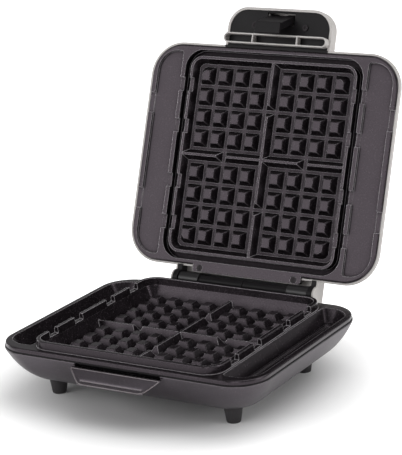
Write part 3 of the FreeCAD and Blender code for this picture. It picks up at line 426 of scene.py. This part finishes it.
# black strip on the lid's edge below the handle collar: mm
rootStrip = {"halfLength": 58.7, "in": 113.2, "out": 115.55, "low": 58.45, "high": 61.1, "thickness": 0.2,
             "stations": 3}


def makeRootStrip():
    # L-shaped profile in y and z carried along x
    v = rootStrip
    inner, upper = v["out"] - v["thickness"], v["low"] + v["thickness"]
    profile = [(-v["in"], v["low"]), (-v["out"], v["low"]), (-v["out"], v["high"]), (-inner, v["high"]),
               (-inner, upper), (-v["in"], upper)]
    stations = np.linspace(-v["halfLength"], v["halfLength"], v["stations"])
    strip = carriedPiece("handleRootStrip", openedUp(alongX(profile, stations)), "mouldedBlackNylon")
    mounted(strip, "lid")


# rolled edge of the catch lip: the edge of its sloping face, rounded at the two lower corners, in mm
lipBead = {"topHalf": 47.7, "lowHalf": 34.6, "top": (-117.6, 47.9), "low": (-128.2, 37.6),
           "corner": 6.0, "topCorner": 1.5, "radius": 0.75, "sides": 12, "steps": 10}


def roundedLoop(corners, radii, steps):
    # closed loop with each corner replaced by a curve: its points are
    # corner + reach ((1 - s)^2 back + s^2 ahead), back and ahead being unit steps along the two sides
    corners = np.asarray(corners, float)
    back = np.roll(corners, 1, axis=0) - corners
    ahead = np.roll(corners, -1, axis=0) - corners
    back /= np.linalg.norm(back, axis=1, keepdims=True)
    ahead /= np.linalg.norm(ahead, axis=1, keepdims=True)
    share = np.linspace(0.0, 1.0, steps)[None, :, None]
    reach = np.asarray(radii)[:, None, None]
    points = corners[:, None] + reach * ((1 - share) ** 2 * back[:, None] + share ** 2 * ahead[:, None])
    return points.reshape(-1, 2)


def makeLipBead():
    # round bar carried along the loop: centre + radius (cos a * sideways + sin a * out of the face)
    v = lipBead
    low, top = np.asarray(v["low"]), np.asarray(v["top"])
    length = np.linalg.norm(low - top)
    slope = (low - top) / length
    corners = [(-v["topHalf"], 0), (v["topHalf"], 0), (v["lowHalf"], length), (-v["lowHalf"], length)]
    loop = roundedLoop(corners, [v["topCorner"], v["topCorner"], v["corner"], v["corner"]], v["steps"])
    along = np.roll(loop, -1, axis=0) - np.roll(loop, 1, axis=0)
    along /= np.linalg.norm(along, axis=1, keepdims=True)
    sideways = np.stack([along[:, 1], -along[:, 0]], axis=-1)
    turn = np.linspace(0.0, 2 * math.pi, v["sides"], endpoint=False)[None, :]
    flat = loop[:, None, :] + v["radius"] * np.cos(turn)[..., None] * sideways[:, None, :]
    proud = v["radius"] * np.sin(turn) * np.ones((len(loop), 1))
    points = np.empty(flat.shape[:2] + (3,))
    points[..., 0] = flat[..., 0]
    points[..., 1] = top[0] + flat[..., 1] * slope[0] + proud * slope[1]
    points[..., 2] = top[1] + flat[..., 1] * slope[1] - proud * slope[0]
    faces = gridFaces(len(loop), v["sides"], True, True).tolist()
    # the bead's light colour is a highlight painted along the lip's edge
    bead = newPiece("catchLipBead", points * mm, faces, "paleGraphiteEdgeHighlight")
    mounted(bead, "base")


# upright fins in the vent behind the catch lip: mm
ventFins = {"count": 21, "pitch": 4.2, "thickness": 1.1, "front": -115.1, "back": -111.5,
            "low": 43.5, "high": 48.6, "crownSteps": 9}


def makeVentFins():
    # one fin: a bar with a round top in x and z, carried along y; the others repeat it at the pitch
    v = ventFins
    half = v["thickness"] / 2
    crown = arc((0.0, v["high"] - half), half, 0.0, 180.0, v["crownSteps"])
    profile = np.concatenate([[(half, v["low"])], crown, [(-half, v["low"])]])
    stations = np.array([v["front"], v["back"]])
    fin = np.empty((len(stations), len(profile), 3))
    fin[..., 0] = profile[None, :, 0]
    fin[..., 1] = stations[:, None]
    fin[..., 2] = profile[None, :, 1]
    places = (np.arange(v["count"]) - (v["count"] - 1) / 2) * v["pitch"]
    points = fin[None] + np.array([1.0, 0.0, 0.0]) * places[:, None, None, None]
    finFaces, finPoints = tubeFaces(*fin.shape[:2]), len(stations) * len(profile)
    faces = [[corner + i * finPoints for corner in face] for i in range(v["count"]) for face in finFaces]
    mounted(newPiece("ventFins", points * mm, faces, "mouldedBlackNylon"), "base")


# black strip in the seam between the lower plate's edge and the bowl, a dark thing put in the shadow gap as
# painted shadow: mm
seamShadeStrip = {"halfX": 140.4, "halfY": 113.4, "corner": 33.4, "low": 51.12, "high": 52.35,
              "halfThickness": 0.36, "steps": 24, "sides": 12}


def makeSeamShadeStrip():
    # flat oval carried round a rounded rectangle: loop + t cos a outward, middle + h sin a up
    v = seamShadeStrip
    x, y, r = v["halfX"] - v["corner"], v["halfY"] - v["corner"], v["corner"]
    quarters = [np.linspace(q * 90.0, q * 90.0 + 90.0, v["steps"]) for q in range(4)]
    angle = np.radians(np.concatenate(quarters))
    centres = np.repeat(np.array([(x, y), (-x, y), (-x, -y), (x, -y)]), v["steps"], axis=0)
    outward = np.stack([np.cos(angle), np.sin(angle)], axis=-1)
    loop = centres + r * outward
    turn = np.linspace(0.0, 2 * math.pi, v["sides"], endpoint=False)
    points = np.empty((len(loop), len(turn), 3))
    bulge = v["halfThickness"] * np.cos(turn)[None, :, None]
    points[..., :2] = loop[:, None, :] + bulge * outward[:, None, :]
    points[..., 2] = (v["low"] + v["high"]) / 2 + (v["high"] - v["low"]) / 2 * np.sin(turn)[None, :]
    faces = gridFaces(len(loop), len(turn), True, True).tolist()
    mounted(newPiece("seamShadeStrip", points * mm, faces, "mouldedBlackNylon"), "base")


makeSeamShadeStrip()
makeNeckLiner()
makeRootStrip()
makeLipBead()
makeVentFins()
print("own pieces made")


studio = {
    "floorRadius": 60.0,             # m
    "floorRings": 24, "floorSpokes": 72, "floorStart": 0.001, "floorGrowth": 3,
    "floorColour": "#e6e6e6",
    "floorGlow": (0.0, 0.95),        # light the floor adds for the eye: none under the object, which paints a shadow pool there, and nearly white far from it
    "glowAndShadowPoolReach": (0.10, 0.27),  # m from the middle at which each holds; the glow rises in between, so the floor round the object carries a painted shadow
    "horizon": 0.42,
    "zenith": 0.22,
    "zenithFrom": 0.6,               # height of the direction at which the sky is as at the zenith
    "glossOnly": ("panelFront",),    # a bright panel that only shows in the gloss
    "lamps": {
        # name: place in m, aim in m, width, height, power in W
        "softFront": ((-1.5, -2.5, 1.3), (0.0, 0.1, 0.2), 2.6, 2.0, 38.0),
        "panelFront": ((0.95, -2.3, 1.0), (0.0, 0.1, 0.2), 0.9, 1.3, 17.0),
        "keyRight": ((2.1, 0.3, 1.0), (0.0, 0.05, 0.1), 0.8, 0.8, 12.0),
        "rimLeft": ((-2.4, 0.2, 0.5), (0.0, 0.1, 0.15), 0.5, 0.9, 7.0),
        "topBox": ((0.7, 0.7, 2.3), (0.1, 0.1, 0.0), 2.6, 2.6, 34.0),
    },
}


def makeFloor():
    # flat disc in polar form: x = r cos a, y = r sin a, z = 0, with r growing as the cube
    v = studio
    rings, spokes = v["floorRings"], v["floorSpokes"]
    radius = (np.linspace(v["floorStart"], 1.0, rings) ** v["floorGrowth"] * v["floorRadius"])[:, None]
    turn = np.linspace(0.0, 2 * math.pi, spokes, endpoint=False)[None, :]
    points = np.stack([radius * np.cos(turn), radius * np.sin(turn), np.zeros((rings, spokes))], axis=-1)
    floor = newPiece("floor", points, gridFaces(rings, spokes, wrapColumns=True).tolist())
    # pale paint, with a glow for the eye and for reflections that dies away towards the middle, so a painted
    # shadow pool lies under the object beside its cast shadow
    material, tree, place = newMaterial("paleStudioFloor")
    path = add(tree, "ShaderNodeLightPath").outputs
    seen = path["Is Camera Ray"]
    for other in ("Is Glossy Ray", "Is Transmission Ray"):
        seen = add(tree, "ShaderNodeMath", {"operation": "MAXIMUM"},
                   links={0: seen, 1: path[other]}).outputs[0]
    reach = add(tree, "ShaderNodeVectorMath", {"operation": "LENGTH"}, links={0: place}).outputs["Value"]
    shadowPoolFade = add(tree, "ShaderNodeMapRange", {"interpolation_type": "SMOOTHSTEP"},
               spread(v["glowAndShadowPoolReach"], v["floorGlow"]), {"Value": reach}).outputs["Result"]
    glow = add(tree, "ShaderNodeMath", {"operation": "MULTIPLY"}, links={0: seen, 1: shadowPoolFade})
    paint = add(tree, "ShaderNodeBsdfDiffuse", inputs={"Color": linear(v["floorColour"])})
    light = add(tree, "ShaderNodeEmission", links={"Strength": glow.outputs[0]})
    both = add(tree, "ShaderNodeAddShader", links={0: paint.outputs[0], 1: light.outputs[0]})
    finishMaterial(tree, both)
    floor.data.materials.append(material)


def makeWorld():
    # white light, strongest at the horizon
    world = bpy.data.worlds.new("studioWorld")
    scene.world = world
    world.use_nodes = True
    tree = world.node_tree
    tree.nodes.clear()
    direction = add(tree, "ShaderNodeTexCoord").outputs["Generated"]
    height = add(tree, "ShaderNodeSeparateXYZ", links={"Vector": direction}).outputs["Z"]
    levels = spread((0.0, studio["zenithFrom"]), (studio["horizon"], studio["zenith"]))
    strength = add(tree, "ShaderNodeMapRange", {"interpolation_type": "SMOOTHSTEP"}, levels,
                   {"Value": height})
    background = add(tree, "ShaderNodeBackground", inputs={"Color": linear("#ffffff")},
                     links={"Strength": strength.outputs["Result"]})
    add(tree, "ShaderNodeOutputWorld", links={"Surface": background.outputs[0]})


def makeLamps():
    # flat lamps that face their aim
    for name, (place, aim, width, height, power) in studio["lamps"].items():
        lamp = bpy.data.lights.new(name, "AREA")
        lamp.shape = "RECTANGLE"
        lamp.size = width
        lamp.size_y = height
        lamp.energy = power
        holder = bpy.data.objects.new(name, lamp)
        holder.location = place
        holder.rotation_euler = (Vector(aim) - Vector(place)).to_track_quat("-Z", "Y").to_euler()
        holder.visible_diffuse = name not in studio["glossOnly"]
        scene.collection.objects.link(holder)


# viewpoint matched to the photo: angles in degrees, lengths in m, lens and sensor in mm
viewpoint = {"azimuth": 30.73, "elevation": 16.177, "roll": -2.849, "distance": 1.908454,
             "target": (-0.010536, 0.066542, 0.135253), "lens": 154.707, "sensor": 36.0, "farthest": 200.0}


def makeCamera():
    # back points from the target to the camera; right and up are turned round it by the roll
    v = viewpoint
    azimuth, elevation, roll = (math.radians(v[key]) for key in ("azimuth", "elevation", "roll"))
    level = math.cos(elevation)
    back = Vector((math.sin(azimuth) * level, -math.cos(azimuth) * level, math.sin(elevation)))
    right = Vector((math.cos(azimuth), math.sin(azimuth), 0.0))
    up = back.cross(right)
    turnedRight = math.cos(roll) * right + math.sin(roll) * up
    turnedUp = math.cos(roll) * up - math.sin(roll) * right
    turn = Matrix((turnedRight, turnedUp, back)).transposed().to_4x4()
    camera = bpy.data.objects.new("photoCamera", bpy.data.cameras.new("photoCamera"))
    camera.matrix_world = Matrix.Translation(Vector(v["target"]) + v["distance"] * back) @ turn
    camera.data.sensor_width = v["sensor"]
    camera.data.lens = v["lens"]
    camera.data.clip_end = v["farthest"]
    scene.collection.objects.link(camera)
    scene.camera = camera


makeFloor()
makeWorld()
makeLamps()
makeCamera()
print("studio and camera set")
